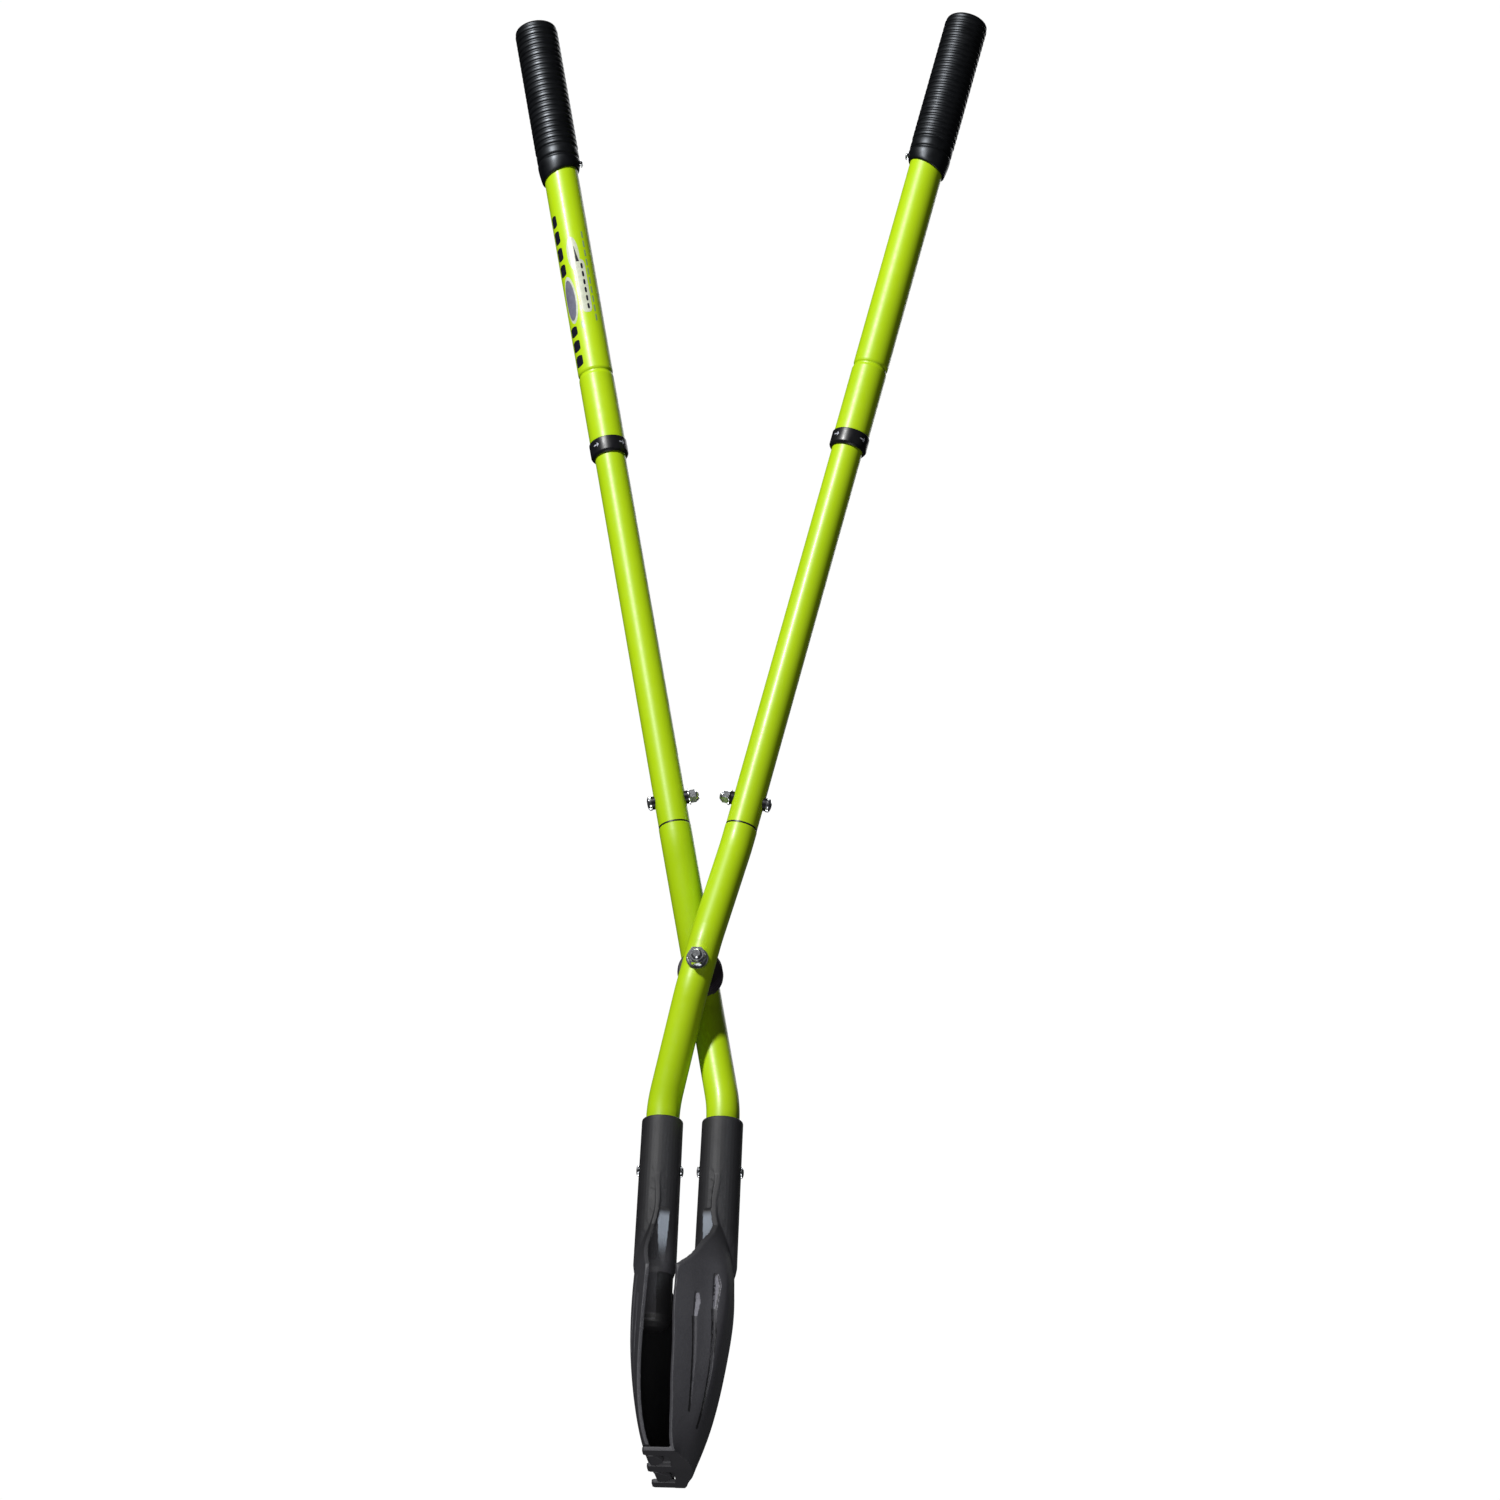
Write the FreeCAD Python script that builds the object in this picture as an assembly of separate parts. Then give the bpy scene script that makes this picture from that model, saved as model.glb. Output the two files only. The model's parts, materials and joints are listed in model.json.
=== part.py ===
import FreeCAD, Part
import os
import math

# Scissor-action digger: two bent tube legs cross at a pivot bolt; each has a
# telescoping handle above and a moulded toothed scoop below.
# Frame: +Z up, origin midway between the legs at the level of the scoop lips.
# The rear leg bows towards +Y, leans towards -X as it rises and has its scoop
# on the +X side. The front leg is the same, half a turn round Z.
# Millimetres, modelled closed with the handles drawn out.
#
# Leg frame: Z along the leg, origin at the pivot level. Names ending in _S
# are heights in it.

Vec = FreeCAD.Vector
X_AXIS, Y_AXIS, Z_AXIS = Vec(1, 0, 0), Vec(0, 1, 0), Vec(0, 0, 1)
MINUS_X, MINUS_Y = Vec(-1, 0, 0), Vec(0, -1, 0)

# ---- legs -----------------------------------------------------------------
LEG_TILT = 12.0            # lean from the vertical, degrees
PIVOT_Z = 396.0
BOW_Y = 18.8               # how far each tube bows out of plane at the pivot
SOCKET_X = 23.0            # half distance between the socket axes
CLEAR = 0.05               # radial clearance
THROUGH = 60.0             # length of through-hole cutters

TILT = math.radians(LEG_TILT)

# ---- lower bent tube ------------------------------------------------------
BENT_R = 25.6 / 2
BENT_BORE_R = BENT_R - 1.3
NECK_R = 22.3 / 2          # swaged top end, inside the inner tube
NECK_BORE_R = NECK_R - 1.3
NECK_LEN = 42.0
JOINT_S = 125.7
SHOULDER_S = JOINT_S - 1.2  # start of the rounded shoulder below the neck
BENT_END_Z = 182.0         # lower end, inside the socket
BEND_RADII = [80.0, 60.0, 60.0, 78.0]  # from the top down

# ---- telescoping tubes ----------------------------------------------------
INNER_R = 25.0 / 2
INNER_BORE_R = 22.5 / 2
INNER_TOP_S = 546.0
OUTER_R = 28.6 / 2
OUTER_BORE_R = 26.0 / 2
OUTER_BOTTOM_S = 460.0
OUTER_TOP_S = 866.0
BEAD_S = 533.0             # rolled-in stop bead
BEAD_DEPTH = 1.0
COLLAR_BOTTOM_S = 457.0
COLLAR_TOP_S = 471.0
COLLAR_R = 30.6 / 2
REAR_SLIDE = -2.0          # shift of each handle along its leg
FRONT_SLIDE = 7.0

# ---- twist lock -----------------------------------------------------------
STUD_R = 8.0 / 2
EXPANDER_R = 25.8 / 2
EXPANDER_BOTTOM_S = 549.0 + 0.2
EXPANDER_TOP_S = 577.0

# ---- grip -----------------------------------------------------------------
GRIP_BOTTOM_S = 726.4
GRIP_TOP_S = GRIP_BOTTOM_S + 142.6 + 1.4
GRIP_R = 17.8
GRIP_VALLEY_R = 16.8
GRIP_RIDGES = 23
GRIP_PITCH = 5.09
GRIP_SLANT = 0.27          # rise of the lower end per mm towards +X of the leg frame
SCREW_S = GRIP_BOTTOM_S + 6.4
SCREW_R = 1.6
SCREW_SEAT_X = 17.74       # underside of the screw head
SCREW_SLOT_X = 18.82       # floor of the cross slot
SCREW_SLOT_LEN, SCREW_SLOT_W = 4.6, 0.8

# ---- cross bolt of the joint ----------------------------------------------
BOLT_S = 148.8
BOLT_R = 3.0
BOLT_SEAT_X = INNER_R + 2.25   # outer face of the saddle washers

# ---- pivot ----------------------------------------------------------------
PIVOT_R = 8.0 / 2
PIVOT_HEX = 13.0           # across flats, bolt head and nut
WASHER_R = 8.6
WASHER_OUT_Y = BOW_Y + BENT_R + 1.9
SPACER_R = 35.0 / 2
SPACER_END_Y = 9.6

# ---- scoops ---------------------------------------------------------------
WALL = 3.0
LIP_T = 3.2
LIP_HALF = 49.0            # half width of the lip
LONG_LIP_DEPTH = 5.6       # rim line to tooth roots, deep scoop
SHORT_LIP_DEPTH = 2.6      # the same on the shallow scoop
TOOTH_W = 14.0             # outer long teeth
TOOTH_MID_W = 16.0
LONG_TIP_X = -20.4
SHORT_TIP_X = 6.8
TOOTH_GAP = 1.2            # clearance each side of a long tooth
NOTCH_OVERRUN = 6.0        # outer notches run on past the lip
WEB_Z = 4.0                # web above the teeth of the deep scoop
WEB_T = 2.4
WEB_TIP = 8.6
WEB_HALF = 33.5
SOCKET_TOP_Z = 274.5
SOCKET_BOTTOM_Z = 150.0
SOCKET_FULL_Z = SOCKET_BOTTOM_Z + 8.0  # level where the socket is widest
SOCKET_R_TOP = 15.8
SOCKET_R_BOTTOM = 16.4
RIB_BOTTOM_Z = 107.0       # the socket goes on down inside the scoop as a rib
RIB_R = 14.4
FLAT_OFFSET = 15.2         # relief flats on the socket: distance from its axis,
FLAT_TOP_Z = 200.0         # top end,
FLAT_ANGLE = 69.0          # angle from -X to each side
FLAT_TILT = 1.4            # and outward lean going down, degrees
RIVET_Z = 234.0
RIVET_R = 2.4

# Levels of a scoop as built on the +X side, its opening towards -X:
# z, x of the back at the centre, x and half-y of the inboard edge of the side
# panel, x of the rim, half width, extra reach of the -Y rim towards -X
DEEP = [
    (0.0, 13.4, 7.0, 38.0, 4.0, 49.5, 0.0),
    (10.0, 16.8, 11.4, 34.0, 1.7, 50.5, 0.0),
    (26.0, 21.8, 17.7, 31.0, 0.9, 51.5, 0.0),
    (45.0, 26.6, 23.2, 30.0, 0.2, 52.5, 0.0),
    (68.0, 31.0, 27.8, 30.0, -0.3, 53.5, 0.0),
    (95.0, 34.8, 31.9, 30.0, -0.9, 54.0, 0.0),
    (122.0, 37.4, 35.0, 28.0, -1.2, 54.5, 0.0),
    (149.0, 37.6, 33.8, 25.0, -1.0, 54.5, 0.0),
    (170.0, 35.6, 29.6, 20.0, -12.0, 54.5, 0.0),
    (190.0, 33.0, 25.6, 16.0, -19.0, 54.5, 0.0),
    (212.0, 31.0, 23.8, 16.2, -20.0, 54.5, 0.0),
    (232.0, 30.0, 23.0, 16.2, -20.0, 54.5, 0.0),
]
SHALLOW = [
    (0.0, 16.6, 17.4, 38.0, 15.6, 49.5, 6.0),
    (10.0, 22.0, 22.0, 34.0, 20.0, 50.5, 10.0),
    (26.0, 27.2, 26.0, 31.0, 23.8, 51.5, 13.5),
    (45.0, 31.4, 29.6, 30.0, 26.0, 52.5, 16.0),
    (68.0, 35.0, 33.0, 30.0, 26.8, 53.5, 17.0),
    (95.0, 37.4, 35.0, 30.0, 26.3, 54.0, 16.8),
    (122.0, 38.2, 35.4, 28.0, 25.2, 54.5, 15.5),
    (149.0, 37.8, 33.6, 25.0, 23.7, 54.5, 13.0),
    (170.0, 35.8, 30.0, 20.0, 20.0, 54.5, 9.0),
    (190.0, 33.0, 25.6, 16.0, 15.0, 54.5, 4.0),
    (212.0, 31.0, 23.8, 16.2, 12.0, 54.5, 0.0),
    (232.0, 30.0, 23.0, 16.2, 10.0, 54.5, 0.0),
]
SAG = 0.5                  # outward bow of the side panels

# Upper edge of the wings, (|y|, z) from the rim side up to the socket
WING_EDGE = [
    (120, -5), (120, 134.0), (54.6, 136.4), (53.3, 142.6), (38.0, 159.8), (23.2, 177.7),
    (18.0, 186.0), (17.0, 200.0), (16.2, 227.0),
]
WING_TOP_Z = 231.0         # at the centre

# Grooves of the side panels, stations of |y|, z, width, depth: two grooves,
# each a wide pocket and then a narrow tail
GROOVES = [
    [(44.6, 124.6, 4.2, 0.9), (45.0, 118.0, 6.4, 1.6), (44.8, 105.5, 3.4, 1.5)],
    [(44.8, 105.6, 3.4, 1.6), (42.6, 70.0, 2.6, 1.2), (39.6, 33.0, 1.0, 0.3)],
    [(33.6, 142.0, 3.6, 0.9), (34.6, 134.0, 6.4, 1.7), (35.4, 114.3, 3.4, 1.5)],
    [(35.4, 114.4, 3.4, 1.6), (32.4, 66.0, 2.6, 1.2), (29.6, 23.0, 1.0, 0.3)],
]


# ---- helpers --------------------------------------------------------------
def cylinder(radius, height, base, direction=Z_AXIS):
    return Part.makeCylinder(radius, height, base, direction)


def hole_x(radius, z, x=0.0):
    """Through-hole cutter along X, centred on x, with clearance."""
    return cylinder(radius + CLEAR, THROUGH, Vec(x - THROUGH / 2, 0, z), X_AXIS)


def pivot_hole():
    return cylinder(PIVOT_R + CLEAR, THROUGH, Vec(0, -11, PIVOT_Z), Y_AXIS)


def closed_polygon(points):
    return Part.makePolygon(points + [points[0]])


def prism(points, sweep):
    return Part.Face(closed_polygon(points)).extrude(sweep)


def revolve(profile):
    """Closed solid of revolution about Z from (radius, z) points."""
    wire = closed_polygon([Vec(radius, 0, z) for radius, z in profile])
    return Part.Face(wire).revolve(Vec(0, 0, 0), Z_AXIS, 360)


def aim(shape, base, direction):
    """Put the shape's origin at base and its Z along direction."""
    shape.Placement = FreeCAD.Placement(base, FreeCAD.Rotation(Z_AXIS, direction))
    return shape


def to_leg(shape):
    """From the leg frame to the rear leg."""
    placed = shape.copy()
    placed.rotate(Vec(0, 0, 0), Y_AXIS, -LEG_TILT)
    placed.translate(Vec(0, 0, PIVOT_Z))
    return placed


def half_turn(shape):
    """From the rear leg to the front leg."""
    turned = shape.copy()
    turned.rotate(Vec(0, 0, 0), Z_AXIS, 180)
    return turned


def slid(shape, distance):
    moved = shape.copy()
    moved.translate(Vec(0, 0, distance))
    return moved


def biggest(shape):
    return max(shape.Solids, key=lambda solid: solid.Volume)


def hexagon(across_flats, height, base, direction):
    """Hexagonal prism with lightly chamfered corners."""
    corner = across_flats / math.sqrt(3.0)
    angles = [math.radians(60 * k) for k in range(6)]
    points = [Vec(corner * math.cos(a), corner * math.sin(a), 0) for a in angles]
    body = prism(points, Vec(0, 0, height))
    chamfer = revolve([
        (0, 0), (corner * 0.955, 0), (corner * 1.02, height * 0.16),
        (corner * 1.02, height * 0.84), (corner * 0.955, height), (0, height)])
    return aim(body.common(chamfer), base, direction)


def dome(radius, height, base, direction, rim=0.6):
    """Low domed head, flat side at base, with a straight rim."""
    steps = 8
    profile = [(0, 0), (radius, 0), (radius, rim)]
    for k in range(1, steps):
        angle = math.pi / 2 * k / steps
        profile.append((radius * math.cos(angle), rim + (height - rim) * math.sin(angle)))
    profile.append((0, height))
    return aim(revolve(profile), base, direction)


# ---- bent tube ------------------------------------------------------------
def leg_point(s, y):
    """Point of the rear leg at distance s above the pivot."""
    return Vec(-s * math.sin(TILT), y, PIVOT_Z + s * math.cos(TILT))


def rounded_path(points, radii):
    """Wire of lines through the points, with an arc at each inner one."""
    edges = []
    start = points[0]
    for before, corner, after, radius in zip(points, points[1:], points[2:], radii):
        back = (before - corner).normalize()
        ahead = (after - corner).normalize()
        turn = math.pi - math.acos(max(-1.0, min(1.0, back.dot(ahead))))
        setback = radius * math.tan(turn / 2.0)
        arc_start = corner + back * setback
        arc_end = corner + ahead * setback
        bisector = (back + ahead).normalize()
        centre = corner + bisector * (radius / math.cos(turn / 2.0))
        arc_middle = centre + (corner - centre).normalize() * radius
        edges.append(Part.LineSegment(start, arc_start).toShape())
        edges.append(Part.Arc(arc_start, arc_middle, arc_end).toShape())
        start = arc_end
    edges.append(Part.LineSegment(start, points[-1]).toShape())
    return Part.Wire(edges)


def bent_rod(radius, extend=0.0):
    """Solid rod along the rear bent tube, lengthened at both ends by extend."""
    points = [
        leg_point(SHOULDER_S + extend, 0), leg_point(110.0, 0),
        leg_point(22.0, BOW_Y), leg_point(-22.0, BOW_Y),
        Vec(SOCKET_X, 0, PIVOT_Z - SOCKET_X / math.tan(TILT)),
        Vec(SOCKET_X, 0, BENT_END_Z - extend)]
    circle = Part.Circle(points[0], points[1] - points[0], radius)
    pipe = Part.BRepOffsetAPI.MakePipeShell(rounded_path(points, BEND_RADII))
    pipe.setFrenetMode(False)
    pipe.add(Part.Wire([circle.toShape()]))
    pipe.build()
    pipe.makeSolid()
    return pipe.shape()


def bent_tube():
    outer = bent_rod(BENT_R)
    base = SHOULDER_S
    neck = revolve([
        (0, base - 0.02), (BENT_R, base - 0.02), (BENT_R - 0.35, base + 0.55),
        (BENT_R - 1.1, base + 1.0), (NECK_R, JOINT_S), (NECK_R, JOINT_S + NECK_LEN - 1.0),
        (NECK_R - 0.8, JOINT_S + NECK_LEN), (0, JOINT_S + NECK_LEN)])
    body = outer.fuse(to_leg(neck))
    # the wide bore stops short of the shoulder and tapers to the neck bore
    wide_bore = bent_rod(BENT_BORE_R, 1.0)
    wide_bore = wide_bore.cut(to_leg(Part.makeBox(60, 60, 60, Vec(-30, -30, base - 6.0))))
    taper = to_leg(revolve([
        (0, base - 8), (BENT_BORE_R, base - 8), (BENT_BORE_R, base - 5),
        (NECK_BORE_R, base - 1.5), (0, base - 1.5)]))
    neck_bore = to_leg(cylinder(NECK_BORE_R, NECK_LEN + 20, Vec(0, 0, base - 4.0)))
    body = body.cut(wide_bore).cut(taper).cut(neck_bore)
    body = body.cut(pivot_hole())
    body = body.cut(to_leg(hole_x(BOLT_R, BOLT_S)))
    body = body.cut(hole_x(RIVET_R, RIVET_Z, SOCKET_X))
    return biggest(body)


# ---- telescoping handle, in the leg frame ---------------------------------
def inner_tube():
    length = INNER_TOP_S - JOINT_S
    tube = cylinder(INNER_R, length, Vec(0, 0, JOINT_S))
    tube = tube.cut(cylinder(INNER_BORE_R, length + 2, Vec(0, 0, JOINT_S - 1)))
    return tube.cut(hole_x(BOLT_R, BOLT_S))


def grip_screw_hole(start_x):
    return cylinder(SCREW_R + CLEAR, 20, Vec(start_x, 0, SCREW_S), X_AXIS)


def upper_tube():
    """Outer tube with the stop bead rolled in."""
    outer, bore, depth, bead = OUTER_R, OUTER_BORE_R, BEAD_DEPTH, BEAD_S
    tube = revolve([
        (bore, OUTER_BOTTOM_S), (outer, OUTER_BOTTOM_S), (outer, bead - 3.0),
        (outer - depth * 0.3, bead - 1.7), (outer - depth, bead - 0.6),
        (outer - depth, bead + 0.6), (outer - depth * 0.3, bead + 1.7), (outer, bead + 3.0),
        (outer, OUTER_TOP_S), (bore, OUTER_TOP_S), (bore, bead + 2.4),
        (bore - 0.35, bead + 0.8), (bore - 0.35, bead - 0.8), (bore, bead - 2.4)])
    return tube.cut(grip_screw_hole(8))


def lock_collar():
    """Collar round the lower end of the outer tube."""
    outer, bottom, top = COLLAR_R, COLLAR_BOTTOM_S, COLLAR_TOP_S
    tube_fit = OUTER_R + 0.03
    bore = INNER_R + 0.1
    step = OUTER_BOTTOM_S - 0.05
    return revolve([
        (bore, bottom + 0.6), (bore + 0.6, bottom), (outer - 1.6, bottom),
        (outer - 0.4, bottom + 1.6), (outer, bottom + 2.6), (outer, top - 0.8),
        (outer - 0.5, top), (tube_fit, top), (tube_fit, step), (bore, step)])


def lock_stud():
    """Plug in the top of the inner tube, with the stud the expander turns on."""
    plug = INNER_BORE_R - 0.02
    seat, top = INNER_TOP_S, EXPANDER_TOP_S
    return revolve([
        (0, seat - 26), (plug - 1.0, seat - 26), (plug, seat - 25), (plug, seat + 0.05),
        (plug + 0.9, seat + 0.05), (plug + 0.9, seat + 2.6), (STUD_R, seat + 2.6),
        (STUD_R, top + 0.4), (8.4, top + 0.4), (8.4, top + 2.6), (7.6, top + 3.4),
        (0, top + 3.4)])


def lock_expander():
    """Sleeve on the stud with two ring grooves and a slit on the +X side."""
    outer, bore = EXPANDER_R, STUD_R + CLEAR
    bottom, top = EXPANDER_BOTTOM_S, EXPANDER_TOP_S
    profile = [(bore, bottom), (outer - 1.2, bottom), (outer, bottom + 1.2)]
    for z in (bottom + 7.0, bottom + 17.0):
        profile += [(outer, z), (outer - 0.6, z + 0.6), (outer - 0.6, z + 3.0), (outer, z + 3.6)]
    profile += [(outer, top - 1.2), (outer - 1.2, top), (bore, top)]
    slit = Part.makeBox(30, 2.4, top - bottom + 2, Vec(0, -1.2, bottom - 1))
    return revolve(profile).cut(slit)


def tube_plug():
    plug, top = OUTER_BORE_R - 0.03, OUTER_TOP_S
    return revolve([
        (0, top - 16), (plug - 1.0, top - 16), (plug, top - 15), (plug, top + 0.03),
        (OUTER_R - 0.2, top + 0.03), (OUTER_R - 0.6, top + 1.2), (0, top + 1.2)])


def grip():
    """Ribbed grip, closed at the top, its slanted lower end longer towards -X."""
    bottom = GRIP_BOTTOM_S
    bore = OUTER_R + 0.03
    ceiling = OUTER_TOP_S + 1.25
    valley, crest = GRIP_VALLEY_R, GRIP_R
    lower_end = [
        (bore, -12.0), (16.2, -12.0), (16.5, -4.0), (17.5, 3.6), (17.7, 5.0), (17.7, 9.0),
        (17.2, 9.6), (16.7, 10.1), (16.7, 11.2), (17.2, 11.7), (17.55, 12.3), (17.5, 19.4),
        (valley, 20.2)]
    profile = [(radius, bottom + z) for radius, z in lower_end]
    z = bottom + 21.0
    for _ in range(GRIP_RIDGES):
        profile += [
            (valley, z), (crest - 0.35, z + 0.55), (crest, z + 1.2), (crest, z + 2.6),
            (crest - 0.35, z + 3.25), (valley, z + 3.8)]
        z += GRIP_PITCH
    profile += [
        (17.3, z - 0.5), (17.1, z + 1.2), (16.2, z + 2.8), (14.4, z + 4.1),
        (11.5, GRIP_TOP_S), (0, GRIP_TOP_S), (0, ceiling), (bore, ceiling)]
    slant = Part.makeBox(60, 60, 40, Vec(-30, -30, -40))
    slant.rotate(Vec(0, 0, 0), Y_AXIS, -math.degrees(math.atan(GRIP_SLANT)))
    slant.translate(Vec(0, 0, bottom - 3.2))
    return biggest(revolve(profile).cut(slant)).cut(grip_screw_hole(10))


def grip_screw():
    start_x = OUTER_BORE_R + 0.05
    shank = cylinder(SCREW_R, SCREW_SEAT_X - start_x, Vec(start_x, 0, SCREW_S), X_AXIS)
    screw = shank.fuse(dome(3.3, 1.9, Vec(SCREW_SEAT_X, 0, SCREW_S), X_AXIS, 0.5))
    long, wide = SCREW_SLOT_LEN, SCREW_SLOT_W
    for y_size, z_size in ((long, wide), (wide, long)):
        corner = Vec(SCREW_SLOT_X, -y_size / 2, SCREW_S - z_size / 2)
        screw = screw.cut(Part.makeBox(1.4, y_size, z_size, corner))
    return screw


# ---- cross bolt of the joint, in the leg frame ----------------------------
def joint_bolt():
    """Domed socket-head bolt, head on the -X side."""
    seat = Vec(-BOLT_SEAT_X, 0, BOLT_S)
    shank = cylinder(BOLT_R, BOLT_SEAT_X + INNER_R + 10.5, seat, X_AXIS)
    head = dome(5.6, 3.6, seat, MINUS_X, 1.4)
    key_socket = hexagon(3.6, 2.2, Vec(-BOLT_SEAT_X - 3.7, 0, BOLT_S), X_AXIS)
    return head.fuse(shank).cut(key_socket)


def joint_washers():
    """Saddle washers on both sides of the inner tube."""
    saddle = INNER_R + 0.03
    washers = []
    for side in (-1, 1):
        washer = cylinder(5.2, 6.0, Vec(side * (saddle + 2.2), 0, BOLT_S), Vec(-side, 0, 0))
        washer = washer.cut(cylinder(saddle, 40, Vec(0, 0, BOLT_S - 20)))
        washers.append(biggest(washer.cut(hole_x(BOLT_R, BOLT_S))))
    return Part.makeCompound(washers)


def joint_nut():
    """Flanged cap nut on the +X side."""
    def at(offset):
        return Vec(BOLT_SEAT_X + offset, 0, BOLT_S)

    flange = dome(6.2, 1.5, at(0), X_AXIS, 0.9)
    body = hexagon(9.6, 5.2, at(0.6), X_AXIS)
    crown = dome(4.2, 2.4, at(5.8), X_AXIS, 0.8)
    bore = cylinder(BOLT_R + 0.02, 8.4, at(-0.1), X_AXIS)
    return flange.fuse(body).fuse(crown).cut(bore)


# ---- pivot ----------------------------------------------------------------
def pivot_washer():
    """Saddle washer on the rear tube."""
    washer = cylinder(WASHER_R, 6.5, Vec(0, WASHER_OUT_Y, PIVOT_Z), MINUS_Y)
    crown = dome(WASHER_R, 1.7, Vec(0, WASHER_OUT_Y - 1.7, PIVOT_Z), Y_AXIS, 0.5)
    core = cylinder(WASHER_R, 7, Vec(0, WASHER_OUT_Y - 1.2, PIVOT_Z), MINUS_Y)
    washer = washer.common(crown.fuse(core))
    washer = washer.cut(bent_rod(BENT_R + 0.03))
    return biggest(washer.cut(pivot_hole()))


def pivot_bolt():
    """Bolt with its head on the +Y side and a chamfered tip."""
    head = hexagon(PIVOT_HEX, 5.3, Vec(0, WASHER_OUT_Y + 0.02, PIVOT_Z), Y_AXIS)
    tip_y = -(WASHER_OUT_Y + 9.6)
    shank = cylinder(PIVOT_R, WASHER_OUT_Y - tip_y, Vec(0, tip_y + 1.0, PIVOT_Z), Y_AXIS)
    tip = Part.makeCone(PIVOT_R - 1.0, PIVOT_R, 1.0, Vec(0, tip_y, PIVOT_Z), Y_AXIS)
    return head.fuse(shank).fuse(tip)


def pivot_nut():
    seat_y = -(WASHER_OUT_Y + 0.02)
    nut = hexagon(PIVOT_HEX, 6.2, Vec(0, seat_y, PIVOT_Z), MINUS_Y)
    nut = nut.fuse(cylinder(5.6, 1.6, Vec(0, seat_y - 6.0, PIVOT_Z), MINUS_Y))
    return nut.cut(cylinder(PIVOT_R + 0.02, 20, Vec(0, seat_y + 1, PIVOT_Z), MINUS_Y))


def spacer():
    """Grooved disc between the centre plane and the rear tube, hollowed to fit it."""
    rim = SPACER_R
    disc = revolve([
        (0, CLEAR), (rim, CLEAR), (rim, 0.9), (rim - 1.0, 1.5), (rim - 1.0, 3.2),
        (rim, 3.8), (rim, 5.0), (rim - 1.0, 5.6), (rim - 1.0, 7.4), (rim - 0.4, 8.0),
        (rim - 1.4, SPACER_END_Y), (0, SPACER_END_Y)])
    disc = aim(disc, Vec(0, 0, PIVOT_Z), Y_AXIS)
    disc = disc.cut(bent_rod(BENT_R + CLEAR))
    return biggest(disc.cut(pivot_hole()))


# ---- scoops, built on the +X side -----------------------------------------
def panel_x(x_rim, x_edge, fraction):
    """Outer x of a side panel, at a fraction of the way from rim to inboard edge."""
    return x_rim + (x_edge - x_rim) * fraction + SAG * math.sin(math.pi * fraction)


def outline(row):
    """Outer (x, y) line of the shell at one level, from -Y rim to +Y rim."""
    _, x_back, x_edge, y_edge, x_rim, half_width, far = row

    def half(rim):
        points = [(rim, -half_width)]
        for k in (0.3, 0.65):
            points.append((panel_x(rim, x_edge, k), -half_width + (half_width - y_edge) * k))
        points.append((x_edge, -y_edge))
        points.append((x_edge + (x_back - x_edge) * 0.78, -y_edge * 0.5))
        return points

    mirrored = [(x, -y) for x, y in reversed(half(x_rim))]
    return half(x_rim - far) + [(x_back, 0.0)] + mirrored


def inset(points, distance):
    """The same line moved along its normals, towards the opening."""
    moved = []
    for i, (x, y) in enumerate(points):
        before = points[max(i - 1, 0)]
        after = points[min(i + 1, len(points) - 1)]
        dx, dy = after[0] - before[0], after[1] - before[1]
        length = math.hypot(dx, dy)
        moved.append((x - dy / length * distance, y + dx / length * distance))
    return moved


def spline(points):
    curve = Part.BSplineCurve()
    curve.interpolate(points)
    return curve.toShape()


def shell_section(row):
    line = outline(row)
    outer = [Vec(x, y, row[0]) for x, y in line]
    inner = [Vec(x, y, row[0]) for x, y in reversed(inset(line, WALL))]
    return Part.Wire([
        spline(outer), Part.LineSegment(outer[-1], inner[0]).toShape(),
        spline(inner), Part.LineSegment(inner[-1], outer[0]).toShape()])


def scoop_shell(rows):
    shell = Part.makeLoft([shell_section(row) for row in rows], True, False)
    keep = [(-y, z) for y, z in WING_EDGE] + [(0, WING_TOP_Z)] + WING_EDGE[::-1]
    return shell.common(prism([Vec(-30, y, z) for y, z in keep], Vec(110, 0, 0)))


def tooth_spans(overrun=0.0):
    """(upper y, lower y) of the three long teeth; the outer ones may overrun the lip."""
    root = LIP_HALF - TOOTH_W
    outside = LIP_HALF + overrun
    return [(outside, root), (TOOTH_MID_W / 2, -TOOTH_MID_W / 2), (-root, -outside)]


def long_teeth(root_x):
    """Lip points of the three long teeth, from +Y to -Y."""
    tip = LONG_TIP_X
    points = []
    for upper, lower in tooth_spans():
        points += [
            (root_x, upper), (tip + 1.6, upper - 0.4), (tip, upper - 2.2),
            (tip, lower + 2.2), (tip + 1.6, lower + 0.4), (root_x, lower)]
    return points[1:-1]    # the lip outline already holds its own corners


def short_teeth(root_x):
    """Lip points of the two short teeth, which sit between the long ones."""
    tip = SHORT_TIP_X
    root, middle = LIP_HALF - TOOTH_W, TOOTH_MID_W / 2
    centre = (root + middle) / 2
    half = (root - middle) / 2 - 1.6
    points = []
    for y in (centre, -centre):
        points += [
            (root_x, y + half), (tip + 2.6, y + half * 0.55), (tip, y + 1.8),
            (tip, y - 1.8), (tip + 2.6, y - half * 0.55), (root_x, y - half)]
    return points


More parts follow.
